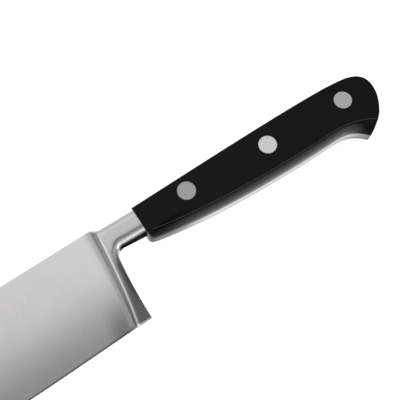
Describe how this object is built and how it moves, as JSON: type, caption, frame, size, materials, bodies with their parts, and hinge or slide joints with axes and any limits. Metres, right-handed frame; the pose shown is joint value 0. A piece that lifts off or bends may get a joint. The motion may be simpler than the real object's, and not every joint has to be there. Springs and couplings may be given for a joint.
{
  "type": "chef knife",
  "caption": "Forged chef's knife with a full bolster, a full tang, two black handle scales and round rivets, for cutting food by hand.",
  "frame": {"origin": "on the line of the spine, in the middle of the blade's thickness, where the blade runs into the bolster", "axes": "+X towards the butt of the handle, along the spine, with the point at -X; +Z from the edge to the spine; +Y through the thickness, towards the knife's right side"},
  "size_m": [0.3974, 0.019, 0.0474],
  "materials": {
    "blade_steel": "satin ground blade with fine grind lines across it, brighter polished bolster and neck",
    "handle_plastic": "black moulded plastic, satin, with a very fine grain",
    "rivet_metal": "fine satin, ground flush with the handle"
  },
  "bodies": {
    "root": {"blade_forging": "blade_steel", "left_scale": "handle_plastic", "right_scale": "handle_plastic", "front_rivet_stud": "rivet_metal", "front_rivet_socket": "rivet_metal", "middle_rivet_stud": "rivet_metal", "middle_rivet_socket": "rivet_metal", "rear_rivet_stud": "rivet_metal", "rear_rivet_socket": "rivet_metal"}
  },
  "joints": []
}
